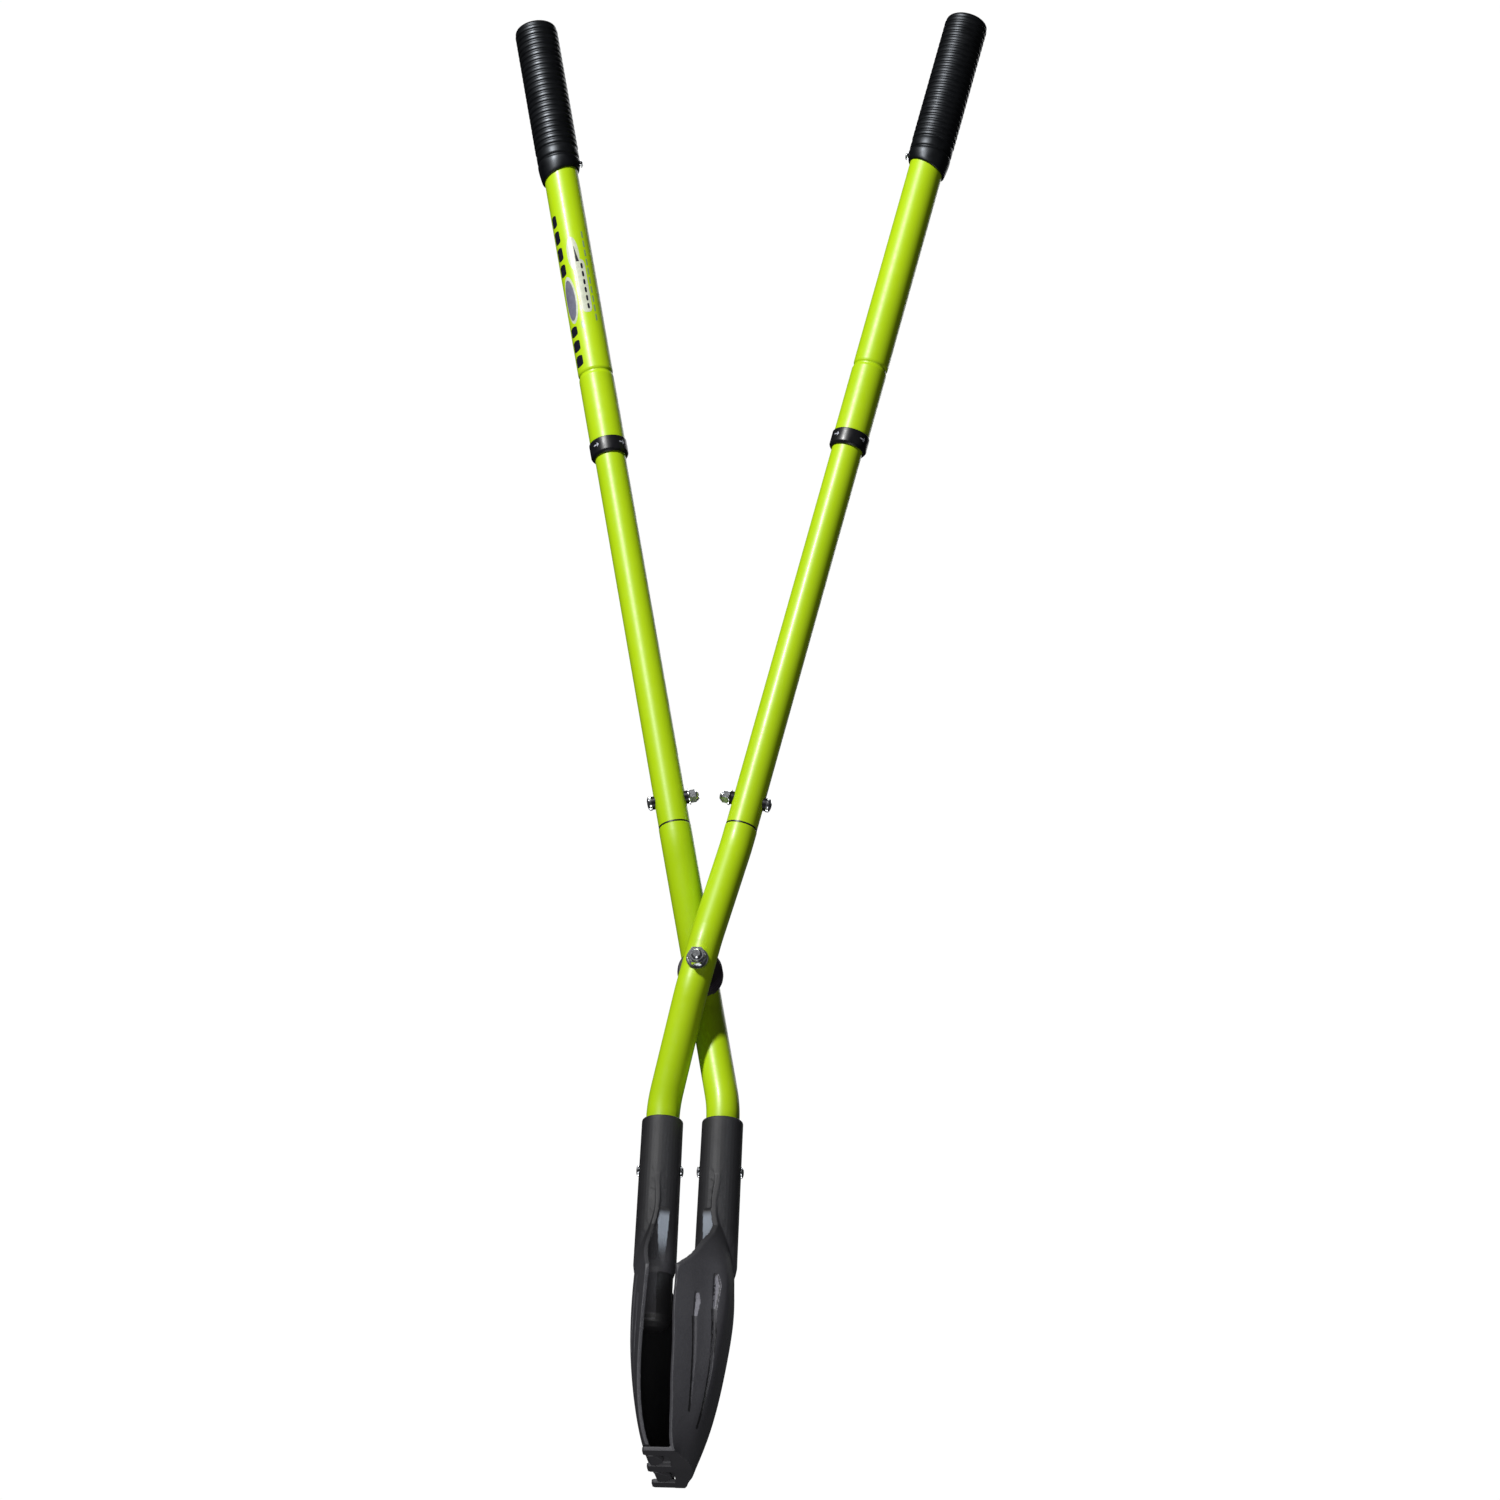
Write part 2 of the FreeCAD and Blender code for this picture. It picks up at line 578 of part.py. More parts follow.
def toothed_lip(row, deep):
    x_rim = row[4]
    root_x = x_rim - (LONG_LIP_DEPTH if deep else SHORT_LIP_DEPTH)
    back = [(x, y) for x, y in inset(outline(row), 0.5) if abs(y) < LIP_HALF]
    points = [(root_x, -LIP_HALF), (x_rim - 0.4, -LIP_HALF)] + back
    points += [(x_rim - 0.4, LIP_HALF), (root_x, LIP_HALF)]
    points += long_teeth(root_x) if deep else short_teeth(root_x)
    return prism([Vec(x, y, 0) for x, y in points], Vec(0, 0, LIP_T))


def add_web(body, x_rim):
    """Web across the roots of the long teeth, just above them, and its foot."""
    web = Part.makeBox(WEB_TIP + x_rim + 2.0, 2 * WEB_HALF, WEB_T,
                       Vec(-WEB_TIP, -WEB_HALF, WEB_Z))
    foot = Part.makeBox(x_rim + 3.0, 2 * WEB_HALF, WEB_Z + WEB_T, Vec(0.6, -WEB_HALF, 0))
    foot = foot.cut(Part.makeBox(60, 200, 60, Vec(x_rim + 1.2, -100, -20)))
    return body.fuse(web).fuse(foot)


def socket():
    """Solid socket and the rib below it, with two relief flats."""
    body = revolve([
        (0, RIB_BOTTOM_Z), (8.0, RIB_BOTTOM_Z + 1.0), (12.6, RIB_BOTTOM_Z + 4.4),
        (RIB_R, RIB_BOTTOM_Z + 10.0), (RIB_R, SOCKET_BOTTOM_Z - 1.0),
        (15.6, SOCKET_BOTTOM_Z + 3.0), (SOCKET_R_BOTTOM, SOCKET_FULL_Z),
        (SOCKET_R_TOP, SOCKET_TOP_Z - 1.0), (SOCKET_R_TOP - 0.6, SOCKET_TOP_Z),
        (0, SOCKET_TOP_Z)])
    body.translate(Vec(SOCKET_X, 0, 0))
    for side in (-1, 1):
        degrees = 180 - side * FLAT_ANGLE
        angle = math.radians(degrees)
        flat = Part.makeBox(40, 40, 70, Vec(0, -20, -70))
        flat.rotate(Vec(0, 0, 0), Y_AXIS, -FLAT_TILT)
        flat.rotate(Vec(0, 0, 0), Z_AXIS, degrees)
        flat.translate(Vec(SOCKET_X + FLAT_OFFSET * math.cos(angle),
                           FLAT_OFFSET * math.sin(angle), FLAT_TOP_Z))
        body = body.cut(flat)
    return body


def cut_socket(body):
    """Bore, well below it, flared mouth, room for the bend, rivet holes."""
    fit = BENT_R + CLEAR
    bore = cylinder(fit, 120, Vec(SOCKET_X, 0, BENT_END_Z - 0.5))
    well = revolve([
        (0, RIB_BOTTOM_Z + 6.0), (8.6, RIB_BOTTOM_Z + 8.5), (10.8, RIB_BOTTOM_Z + 16.0),
        (11.0, BENT_END_Z + 1), (0, BENT_END_Z + 1)])
    well.translate(Vec(SOCKET_X, 0, 0))
    mouth = Part.makeCone(fit, BENT_R + 1.3, 3.0, Vec(SOCKET_X, 0, SOCKET_TOP_Z - 3.0 + 0.01))
    for cutter in (bore, well, mouth, bent_rod(fit), hole_x(RIVET_R, RIVET_Z, SOCKET_X)):
        body = body.cut(cutter)
    return body


def panel_surface(rows, side, y, z):
    """Outer x of the side panel at |y| and z, and the panel's slope."""
    for low, high in zip(rows, rows[1:]):
        if low[0] <= z <= high[0]:
            k = (z - low[0]) / (high[0] - low[0])
            row = [a + (b - a) * k for a, b in zip(low, high)]
            break
    _, _, x_edge, y_edge, x_rim, half_width, far = row
    if side < 0:
        x_rim -= far
    span = half_width - y_edge
    return panel_x(x_rim, x_edge, (half_width - y) / span), (x_edge - x_rim) / span


def groove(rows, side, stations):
    """Tapered groove cutter: steep on the rim side, ramped on the other."""
    sections = []
    for y, z, width, depth in stations:
        x, slope = panel_surface(rows, side, y, z)
        length = math.hypot(1, slope)
        normal_x, normal_y = 1 / length, slope / length    # outwards
        along_x, along_y = slope / length, -1 / length     # towards the back
        profile = [
            (0, 2.0), (0, 0.1), (width * 0.2, -depth), (width * 0.34, -depth),
            (width, 0.1), (width, 2.0)]
        sections.append(closed_polygon([
            Vec(x + along_x * u + normal_x * v, side * (y + along_y * u + normal_y * v), z)
            for u, v in profile]))
    return Part.makeLoft(sections, True, True)


def scoop(rows, deep):
    shell = scoop_shell(rows)
    lip = toothed_lip(rows[0], deep)
    if not deep:
        # notches where the long teeth of the other scoop pass
        for upper, lower in tooth_spans(NOTCH_OVERRUN):
            notch = Part.makeBox(30, upper - lower + 2 * TOOTH_GAP, LIP_T + 2.0,
                                 Vec(4, lower - TOOTH_GAP, -1.0))
            shell = shell.cut(notch)
            lip = lip.cut(notch)
    body = shell.fuse(lip)
    if deep:
        body = add_web(body, rows[0][4])
    body = cut_socket(body.fuse(socket()))
    for side in (-1, 1):
        for stations in GROOVES:
            body = body.cut(groove(rows, side, stations))
    return biggest(body)


def scoop_rivets():
    """Rivets through both sides of the socket and tube, along X."""
    drop = (SOCKET_TOP_Z - RIVET_Z) / (SOCKET_TOP_Z - SOCKET_FULL_Z)
    socket_r = SOCKET_R_TOP + (SOCKET_R_BOTTOM - SOCKET_R_TOP) * drop
    start = BENT_BORE_R - 2.6
    rivets = []
    for side in (-1, 1):
        def at(distance):
            return Vec(SOCKET_X + side * distance, 0, RIVET_Z)

        outward = Vec(side, 0, 0)
        shank = cylinder(RIVET_R, socket_r - start + 0.5, at(start), outward)
        head = dome(4.3, 1.9, at(socket_r + 0.12), outward, 0.5)
        bulb = cylinder(3.3, 1.5, at(start + 0.5), outward)
        rivets.append(biggest(shank.fuse(head).fuse(bulb)))
    return Part.makeCompound(rivets)


# ---- assembly -------------------------------------------------------------
def save(name, shape):
    solids = shape.Solids
    piece = solids[0] if len(solids) == 1 else Part.makeCompound(solids)
    piece.exportStep("parts/" + name + ".step")


def save_pair(name, rear, front):
    """Both shapes are placed as for the rear leg; front gets the half turn."""
    save("rear_" + name, rear)
    save("front_" + name, half_turn(front))


os.makedirs("parts", exist_ok=True)

for build in (grip, grip_screw, upper_tube, tube_plug, lock_collar):
    piece = build()
    save_pair(build.__name__, to_leg(slid(piece, REAR_SLIDE)), to_leg(slid(piece, FRONT_SLIDE)))

for build in (inner_tube, lock_stud, lock_expander, joint_bolt, joint_nut, joint_washers):
    piece = to_leg(build())
    save_pair(build.__name__, piece, piece)

for build in (bent_tube, scoop_rivets, spacer, pivot_washer):
    piece = build()
    save_pair(build.__name__, piece, piece)

save_pair("scoop", scoop(DEEP, True), scoop(SHALLOW, False))
save("pivot_bolt", pivot_bolt())
save("pivot_nut", pivot_nut())
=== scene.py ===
"""Folding two-legged scoop tool, standing with its legs crossed at a pivot.

World frame: metres, +Z up, pivot axis along Y above the origin. The rear leg has its scoop
on +X and its handle on -X; the front leg is the same turned half round. Pieces on a leg are
given in millimetres in the leg's own frame, whose Z runs up the leg from the pivot level.
"""
import bpy
import bmesh
import json
import math
import numpy as np
from mathutils import Matrix, Vector


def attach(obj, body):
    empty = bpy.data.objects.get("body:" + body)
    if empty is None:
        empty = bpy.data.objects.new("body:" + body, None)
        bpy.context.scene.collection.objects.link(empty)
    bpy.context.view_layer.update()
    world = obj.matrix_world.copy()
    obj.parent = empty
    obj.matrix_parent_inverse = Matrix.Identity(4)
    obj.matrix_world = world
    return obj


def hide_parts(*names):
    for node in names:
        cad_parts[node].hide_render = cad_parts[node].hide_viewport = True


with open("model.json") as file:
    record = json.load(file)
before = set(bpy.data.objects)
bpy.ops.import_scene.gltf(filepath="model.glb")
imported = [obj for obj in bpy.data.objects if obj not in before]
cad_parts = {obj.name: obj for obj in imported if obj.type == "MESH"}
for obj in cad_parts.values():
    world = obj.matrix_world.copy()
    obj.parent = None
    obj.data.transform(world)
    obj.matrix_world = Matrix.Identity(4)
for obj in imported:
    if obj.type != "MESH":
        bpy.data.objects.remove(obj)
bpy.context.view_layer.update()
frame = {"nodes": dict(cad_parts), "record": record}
NODES = frame["nodes"]
scene = bpy.context.scene

MM = 0.001
SIDES = ("rear", "front")
TILT = math.radians(12.0)
PIVOT_Z = 0.396
REAR = Matrix.Translation((0, 0, PIVOT_Z)) @ Matrix.Rotation(-TILT, 4, "Y")
LEG = {"rear": REAR, "front": Matrix.Rotation(math.pi, 4, "Z") @ REAR}
# shift of each handle along its leg, mm
SLIDE = {"rear": -2.0, "front": 7.0}
WELD_DISTANCE = 0.00001


# ---------------------------------------------------------------------------
# shader nodes
# ---------------------------------------------------------------------------
def rgba(value):
    """Opaque colour from a grey level or an (r, g, b) tuple."""
    if isinstance(value, (int, float)):
        return (value, value, value, 1.0)
    return (*value, 1.0)


class Shader:
    """Node tree of a material or world; inputs take either a value or another node's output."""

    def __init__(self, owner, output="ShaderNodeOutputMaterial"):
        self.owner = owner
        owner.use_nodes = True
        self.tree = owner.node_tree
        self.tree.nodes.clear()
        self.output = self.tree.nodes.new(output)

    def put(self, socket, value):
        if isinstance(value, bpy.types.NodeSocket):
            self.tree.links.new(value, socket)
        else:
            socket.default_value = rgba(value) if socket.type == "RGBA" else value

    def node(self, kind, inputs=None, **settings):
        node = self.tree.nodes.new("ShaderNode" + kind)
        for key, value in settings.items():
            setattr(node, key, value)
        for key, value in (inputs or {}).items():
            self.put(node.inputs[key], value)
        return node

    def surface(self, shader):
        self.put(self.output.inputs["Surface"], shader)

    def coords(self, lean=0.0, scale=(1, 1, 1)):
        """Object coordinates turned by lean about Y, so that Z follows the leg."""
        source = self.node("TexCoord").outputs["Object"]
        inputs = {"Vector": source, "Rotation": (0, lean, 0), "Scale": scale}
        return self.node("Mapping", inputs).outputs["Vector"]

    def noise(self, vector, scale, detail=4.0, rough=0.6, distort=0.0):
        inputs = {"Vector": vector, "Scale": scale, "Detail": detail, "Roughness": rough,
                  "Distortion": distort}
        return self.node("TexNoise", inputs).outputs["Fac"]

    def ramp(self, fac, span, out=(0.0, 1.0)):
        """Grey ramp running from out[0] to out[1] while fac crosses span."""
        node = self.node("ValToRGB", {"Fac": fac})
        for element, position, value in zip(node.color_ramp.elements, span, out):
            element.position = position
            element.color = rgba(value)
        return node.outputs["Color"]

    def map_range(self, value, source, target=(0.0, 1.0), kind="LINEAR"):
        inputs = {"Value": value, "From Min": source[0], "From Max": source[1],
                  "To Min": target[0], "To Max": target[1]}
        return self.node("MapRange", inputs, interpolation_type=kind).outputs["Result"]

    def mix(self, fac, first, second):
        # sockets 6 and 7 are the colour pair of the mix node, output 2 its colour
        return self.node("Mix", {0: fac, 6: first, 7: second}, data_type="RGBA").outputs[2]

    def math(self, operation, *values, clamp=False):
        inputs = dict(enumerate(values))
        return self.node("Math", inputs, operation=operation, use_clamp=clamp).outputs[0]

    def bump(self, height, distance, strength, normal=None):
        inputs = {"Height": height, "Distance": distance, "Strength": strength}
        if normal is not None:
            inputs["Normal"] = normal
        return self.node("Bump", inputs).outputs["Normal"]

    def principled(self, **inputs):
        inputs = {key.replace("_", " "): value for key, value in inputs.items()}
        shader = self.node("BsdfPrincipled", inputs).outputs["BSDF"]
        self.surface(shader)
        return shader


def new_material(name):
    return Shader(bpy.data.materials.new(name))


# ---------------------------------------------------------------------------
# materials
# ---------------------------------------------------------------------------
def lime_paint(name, lean):
    """Glossy lime powder coat, rubbed along the tube."""
    m = new_material(name)
    v = m.coords(lean)
    tone = m.noise(v, scale=9.0, detail=3.0, rough=0.5)
    fine = m.noise(v, scale=160.0, detail=5.0)
    base = m.mix(m.ramp(tone, span=(0.35, 0.65)), (0.500, 0.765, 0.0045), (0.545, 0.805, 0.0065))
    # dust and rubbing, stretched along the tube
    along = m.coords(lean, scale=(1.0, 1.0, 0.06))
    rub = m.noise(along, scale=420.0, detail=6.0, rough=0.62, distort=0.3)
    rub = m.ramp(rub, span=(0.60, 0.78))
    base = m.mix(m.math("MULTIPLY", rub, 0.16), base, (0.62, 0.80, 0.16))
    speck = m.ramp(m.noise(v, scale=1500.0, detail=2.0, rough=0.5), span=(0.70, 0.76))
    base = m.mix(m.math("MULTIPLY", speck, 0.25), base, (0.30, 0.52, 0.01))
    rough = m.ramp(fine, span=(0.3, 0.7), out=(0.34, 0.44))
    rough = m.mix(m.math("MULTIPLY", rub, 0.6), rough, 0.5)
    peel = m.noise(v, scale=700.0, detail=2.0, rough=0.5)
    normal = m.bump(peel, distance=0.00005, strength=0.35)
    normal = m.bump(rub, distance=0.00002, strength=0.3, normal=normal)
    m.principled(Base_Color=base, Roughness=rough, Normal=normal, Coat_Weight=0.06,
                 Coat_Roughness=0.12, Specular_IOR_Level=0.5)
    return m.owner


def grip_rubber(name, lean):
    """Near-black rubber with a fine grain and a little dust."""
    m = new_material(name)
    v = m.coords(lean)
    tone = m.ramp(m.noise(v, scale=38.0), span=(0.35, 0.7))
    base = m.mix(tone, (0.0007, 0.0008, 0.0012), (0.0016, 0.0018, 0.0026))
    dust = m.ramp(m.noise(v, scale=260.0, detail=6.0, rough=0.65), span=(0.56, 0.80))
    base = m.mix(m.math("MULTIPLY", dust, 0.22), base, (0.012, 0.013, 0.016))
    rough = m.ramp(m.noise(v, scale=120.0), span=(0.3, 0.7), out=(0.36, 0.48))
    normal = m.bump(m.noise(v, scale=2600.0, detail=3.0), distance=0.00006, strength=0.45)
    m.principled(Base_Color=base, Roughness=rough, Normal=normal, Specular_IOR_Level=0.62,
                 Specular_Tint=(0.86, 0.92, 1.0))
    return m.owner


def black_plastic(name):
    m = new_material(name)
    v = m.coords()
    base = m.mix(m.noise(v, scale=90.0), (0.0055, 0.0055, 0.0075), (0.011, 0.011, 0.014))
    rough = m.ramp(m.noise(v, scale=300.0), span=(0.3, 0.7), out=(0.30, 0.42))
    grain = m.noise(v, scale=2400.0, detail=2.0, rough=0.5)
    normal = m.bump(grain, distance=0.00004, strength=0.4)
    m.principled(Base_Color=base, Roughness=rough, Normal=normal, Specular_IOR_Level=0.5)
    return m.owner


def scoop_plastic(name, gain=1.0, polish=0.0, painted_glint=False):
    """Charcoal moulded plastic: eroded grain, faint flow marks, scuffed lip.

    gain scales the colour, which paints light or shade on some areas; polish smooths the
    surface; painted_glint paints a pale, bluish highlight band into the colour and makes it
    shinier.
    """
    m = new_material(name)
    v = m.coords()
    tone = m.ramp(m.noise(v, scale=14.0, rough=0.55), span=(0.3, 0.7))
    base = m.mix(tone, (0.0195, 0.0190, 0.0220), (0.0285, 0.0278, 0.0315))
    mottle = m.ramp(m.noise(v, scale=900.0, rough=0.7), span=(0.35, 0.75), out=(0.0, 0.55))
    base = m.mix(mottle, base, (0.044, 0.043, 0.048))
    # upright scratches, stronger towards the lip
    height = m.node("SeparateXYZ", {0: v}).outputs["Z"]
    low = m.map_range(height, source=(0.085, 0.004))
    upright = m.coords(scale=(1.0, 1.0, 0.09))
    scratch = m.noise(upright, scale=800.0, detail=5.0, rough=0.7, distort=0.8)
    scratch = m.ramp(scratch, span=(0.66, 0.74))
    amount = m.math("MULTIPLY_ADD", low, 0.30, 0.07)
    scratch = m.math("MULTIPLY", scratch, amount, clamp=True)
    base = m.mix(scratch, base, (0.15, 0.148, 0.155))
    rough = m.ramp(m.noise(v, scale=60.0), span=(0.3, 0.7), out=(0.50, 0.60))
    rough = m.mix(scratch, rough, 0.42)
    # painted shade on the socket and painted light on the shell: the colour is scaled by 1.3
    # below z 0.150 m, down to 0.4 on the socket above z 0.185 m
    shade = m.map_range(height, source=(0.150, 0.185), target=(1.30 * gain, 0.40 * gain))
    base = m.node("VectorMath", {0: base, "Scale": shade}, operation="SCALE").outputs["Vector"]
    if polish:
        rough = m.math("MULTIPLY", rough, 1.0 - polish)
    if painted_glint:
        # painted glint: a pale bluish band of colour with lower roughness between z 0.160 and
        # 0.1995 m
        fade_in = m.map_range(height, source=(0.160, 0.180), kind="SMOOTHSTEP")
        fade_out = m.map_range(height, source=(0.193, 0.1995), target=(1.0, 0.0),
                               kind="SMOOTHSTEP")
        glint_mask = m.math("MULTIPLY", fade_in, fade_out)
        base = m.mix(glint_mask, base, (0.150, 0.170, 0.200))
        rough = m.mix(glint_mask, rough, 0.30)
    grain = m.noise(v, scale=1900.0, detail=5.0, rough=0.75)
    normal = m.bump(grain, distance=0.00016 * (1.0 - polish), strength=0.55)
    wave = m.noise(v, scale=55.0, detail=2.0, rough=0.5)
    normal = m.bump(wave, distance=0.0004, strength=0.22, normal=normal)
    m.principled(Base_Color=base, Roughness=rough, Normal=normal, Specular_IOR_Level=0.42)
    return m.owner


def spacer_rubber(name):
    m = new_material(name)
    v = m.coords()
    base = m.mix(m.noise(v, scale=120.0), (0.020, 0.014, 0.024), (0.040, 0.030, 0.044))
    normal = m.bump(m.noise(v, scale=1800.0, detail=3.0), distance=0.00006, strength=0.5)
    rough = m.ramp(m.noise(v, scale=200.0, detail=3.0), span=(0.3, 0.7), out=(0.36, 0.50))
    m.principled(Base_Color=base, Roughness=rough, Normal=normal, Specular_IOR_Level=0.5)
    return m.owner


def nylon(name):
    m = new_material(name)
    v = m.coords()
    base = m.mix(m.noise(v, scale=80.0), (0.50, 0.50, 0.47), (0.60, 0.60, 0.57))
    normal = m.bump(m.noise(v, scale=900.0, detail=3.0), distance=0.00005, strength=0.4)
    m.principled(Base_Color=base, Roughness=0.5, Normal=normal, Subsurface_Weight=0.05)
    return m.owner


def zinc_steel(name):
    """Bright zinc plate: cool mottling, fine grain, a few darker stains."""
    m = new_material(name)
    v = m.coords()
    tone = m.ramp(m.noise(v, scale=260.0, detail=5.0, rough=0.65), span=(0.3, 0.7))
    base = m.mix(tone, (0.66, 0.69, 0.73), (0.84, 0.86, 0.89))
    stain = m.ramp(m.noise(v, scale=700.0, rough=0.7), span=(0.60, 0.76), out=(0.0, 0.35))
    base = m.mix(stain, base, (0.24, 0.25, 0.28))
    rough = m.ramp(m.noise(v, scale=900.0), span=(0.25, 0.75), out=(0.14, 0.24))
    normal = m.bump(m.noise(v, scale=1700.0, detail=3.0), distance=0.00003, strength=0.4)
    m.principled(Base_Color=base, Roughness=rough, Normal=normal, Metallic=0.96)
    return m.owner


def ink(name, color, rough=0.35):
    """Printed film, worn through to the lime in spots."""
    m = new_material(name)
    v = m.coords(TILT)
    tone = m.noise(v, scale=300.0)
    dark = tuple(channel * 0.82 for channel in color)
    base = m.mix(m.ramp(tone, span=(0.35, 0.65)), dark, color)
    wear = m.ramp(m.noise(v, scale=900.0, detail=5.0, rough=0.7), span=(0.66, 0.72))
    base = m.mix(m.math("MULTIPLY", wear, 0.35), base, (0.42, 0.68, 0.02))
    sheen = m.ramp(tone, span=(0.3, 0.7), out=(rough - 0.06, rough + 0.06))
    grain = m.noise(v, scale=1200.0, detail=2.0, rough=0.5)
    normal = m.bump(grain, distance=0.00002, strength=0.3)
    m.principled(Base_Color=base, Roughness=sheen, Normal=normal, Specular_IOR_Level=0.5)
    return m.owner


LEAN = {"rear": TILT, "front": -TILT}
LIME = {side: lime_paint("lime_paint_" + side, LEAN[side]) for side in SIDES}
GRIP = {side: grip_rubber("grip_rubber_" + side, LEAN[side]) for side in SIDES}
BLACK = black_plastic("black_plastic")
# in slot order of the moulded scoops; the indices of the special areas follow. These areas carry
# painted glint, painted highlight, painted shade and painted shadow
SCOOP_MATERIALS = [
    scoop_plastic("scoop_plastic"),
    # the flats: painted glint
    scoop_plastic("scoop_plastic_flat", painted_glint=True),
    # the pockets: painted highlight, colour four times brighter and smoother
    scoop_plastic("scoop_plastic_pocket_painted_highlight", gain=4.0, polish=0.30),
    # the inner faces: painted shade, colour at 0.22
    scoop_plastic("scoop_plastic_inner_painted_shade", gain=0.22),
    # the grooves: painted shadow, colour at 0.15
    scoop_plastic("scoop_plastic_groove_painted_shadow", gain=0.15),
]
FLAT, POCKET, INNER, GROOVE = 1, 2, 3, 4

FINISH = {"lime_paint": LIME, "grip_rubber": GRIP, "black_plastic": BLACK,
          "scoop_plastic": SCOOP_MATERIALS[0], "spacer_rubber": spacer_rubber("spacer_rubber"),
          "nylon": nylon("nylon"), "zinc_steel": zinc_steel("zinc_steel")}


def finish_cad_pieces():
    slot_of = {part["node"]: part["material_slot"] for part in frame["record"]["subparts"]}
    for name, obj in NODES.items():
        material = FINISH[slot_of[name]]
        if isinstance(material, dict):
            material = material["front" if name.startswith("front") else "rear"]
        if not obj.material_slots:
            obj.data.materials.append(material)
        for slot in obj.material_slots:
            slot.link = "OBJECT"
            slot.material = material


finish_cad_pieces()


# ---------------------------------------------------------------------------
# mesh helpers
# ---------------------------------------------------------------------------
AROUND = 96     # segments round a turned piece


def leg_object(name, side, verts, faces, material, body, smooth=False):
    """Object from vertices in the leg's frame, in millimetres."""
    mesh = bpy.data.meshes.new(name)
    placed = [tuple(LEG[side] @ Vector((x * MM, y * MM, z * MM))) for x, y, z in verts]
    mesh.from_pydata(placed, [], faces)
    mesh.validate()
    bm = bmesh.new()
    bm.from_mesh(mesh)
    bmesh.ops.recalc_face_normals(bm, faces=bm.faces)
    bm.to_mesh(mesh)
    bm.free()
    for polygon in mesh.polygons:
        polygon.use_smooth = smooth
    mesh.materials.append(material)
    obj = bpy.data.objects.new(name, mesh)
    scene.collection.objects.link(obj)
    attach(obj, side + body)
    return obj


def circle(radius, z):
    angles = [2 * math.pi * k / AROUND for k in range(AROUND)]
    return [(radius * math.cos(a), radius * math.sin(a), z) for a in angles]


def neighbours():
    return [(k, (k + 1) % AROUND) for k in range(AROUND)]


def band(first, second):
    """Quads between two circles, given by the index of their first vertex."""
    return [(first + k, first + n, second + n, second + k) for k, n in neighbours()]


def add_modifier(obj, name, kind, **settings):
    modifier = obj.modifiers.new(name, kind)
    for key, value in settings.items():
        setattr(modifier, key, value)


# ---------------------------------------------------------------------------
# hand grips: turned, with rounded ridges and a slanted lower rim (mm)
# ---------------------------------------------------------------------------
GRIP_START = 726.4
BORE_RADIUS = 14.34
BORE_TOP = 868.25           # just above the tube's end plug
RIDGES_START = GRIP_START + 21.0
RIDGE_COUNT, RIDGE_PITCH, RIDGE_WIDTH = 23, 5.09, 4.5
RIDGE_ROOT, RIDGE_HEIGHT = 16.72, 1.10
RIDGE_STEPS = 11
SLANT_DROP, SLANT_SLOPE = -3.2, 0.27

# radius, height above GRIP_START, weight of the slant
GRIP_FOOT = [
    (BORE_RADIUS, 0.0, 1.0), (14.9, -0.1, 1.0), (15.5, 0.0, 1.0), (15.9, 0.5, 1.0),
    (16.2, 1.2, 1.0), (16.55, 2.4, 0.9), (16.95, 3.8, 0.7), (17.35, 5.4, 0.45),
    (17.62, 6.8, 0.2), (17.70, 8.0, 0.0), (17.62, 9.0, 0.0), (17.2, 9.6, 0.0),
    (16.75, 10.1, 0.0), (16.62, 10.6, 0.0), (16.72, 11.2, 0.0), (17.15, 11.7, 0.0),
    (17.45, 12.3, 0.0), (17.58, 13.4, 0.0), (17.58, 17.0, 0.0), (17.45, 18.6, 0.0),
    (17.1, 19.6, 0.0), (16.8, 20.3, 0.0),
]
# radius, height above the last ridge
GRIP_CROWN = [
    (17.0, -0.4), (17.28, 0.2), (17.3, 0.9), (17.05, 1.7), (16.5, 2.6), (15.6, 3.4),
    (14.2, 4.1), (12.2, 4.6), (8.0, 4.9), (3.0, 5.0),
]


def grip_profile():
    """(radius, z, slant weight) from the bore's lower rim round the outside to the top."""
    profile = [(radius, GRIP_START + rise, slant) for radius, rise, slant in GRIP_FOOT]
    for row in range(RIDGE_COUNT):
        start = RIDGES_START + row * RIDGE_PITCH - 0.35
        for step in range(1, RIDGE_STEPS):
            t = step / RIDGE_STEPS
            swell = min(1.0, max(0.0, 1.32 * math.sin(math.pi * t) ** 0.8 - 0.06))
            profile.append((RIDGE_ROOT + RIDGE_HEIGHT * swell, start + RIDGE_WIDTH * t, 0.0))
    end = RIDGES_START + RIDGE_COUNT * RIDGE_PITCH
    return profile + [(radius, end + rise, 0.0) for radius, rise in GRIP_CROWN]


def make_grip(side):
    profile = grip_profile()
    verts, faces = [], []
    for radius, z, slant in profile:
        for x, y, level in circle(radius, z + SLIDE[side]):
            verts.append((x, y, level + slant * (SLANT_DROP + SLANT_SLOPE * x)))
    for i in range(len(profile) - 1):
        faces += band(i * AROUND, (i + 1) * AROUND)
    last = (len(profile) - 1) * AROUND
    centre = len(verts)
    verts.append((0, 0, profile[-1][1] + SLIDE[side]))
    faces += [(last + k, last + n, centre) for k, n in neighbours()]
    # bore wall and its closed end
    bore = len(verts)
    verts += circle(BORE_RADIUS, BORE_TOP + SLIDE[side])
    faces += [(k, bore + k, bore + n, n) for k, n in neighbours()]
    centre = len(verts)
    verts.append((0, 0, BORE_TOP + SLIDE[side]))
    faces += [(bore + k, centre, bore + n) for k, n in neighbours()]
    grip = leg_object(side + "_grip_ribbed", side, verts, faces, GRIP[side], "_handle",
                      smooth=True)
    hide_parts(side + "_grip")


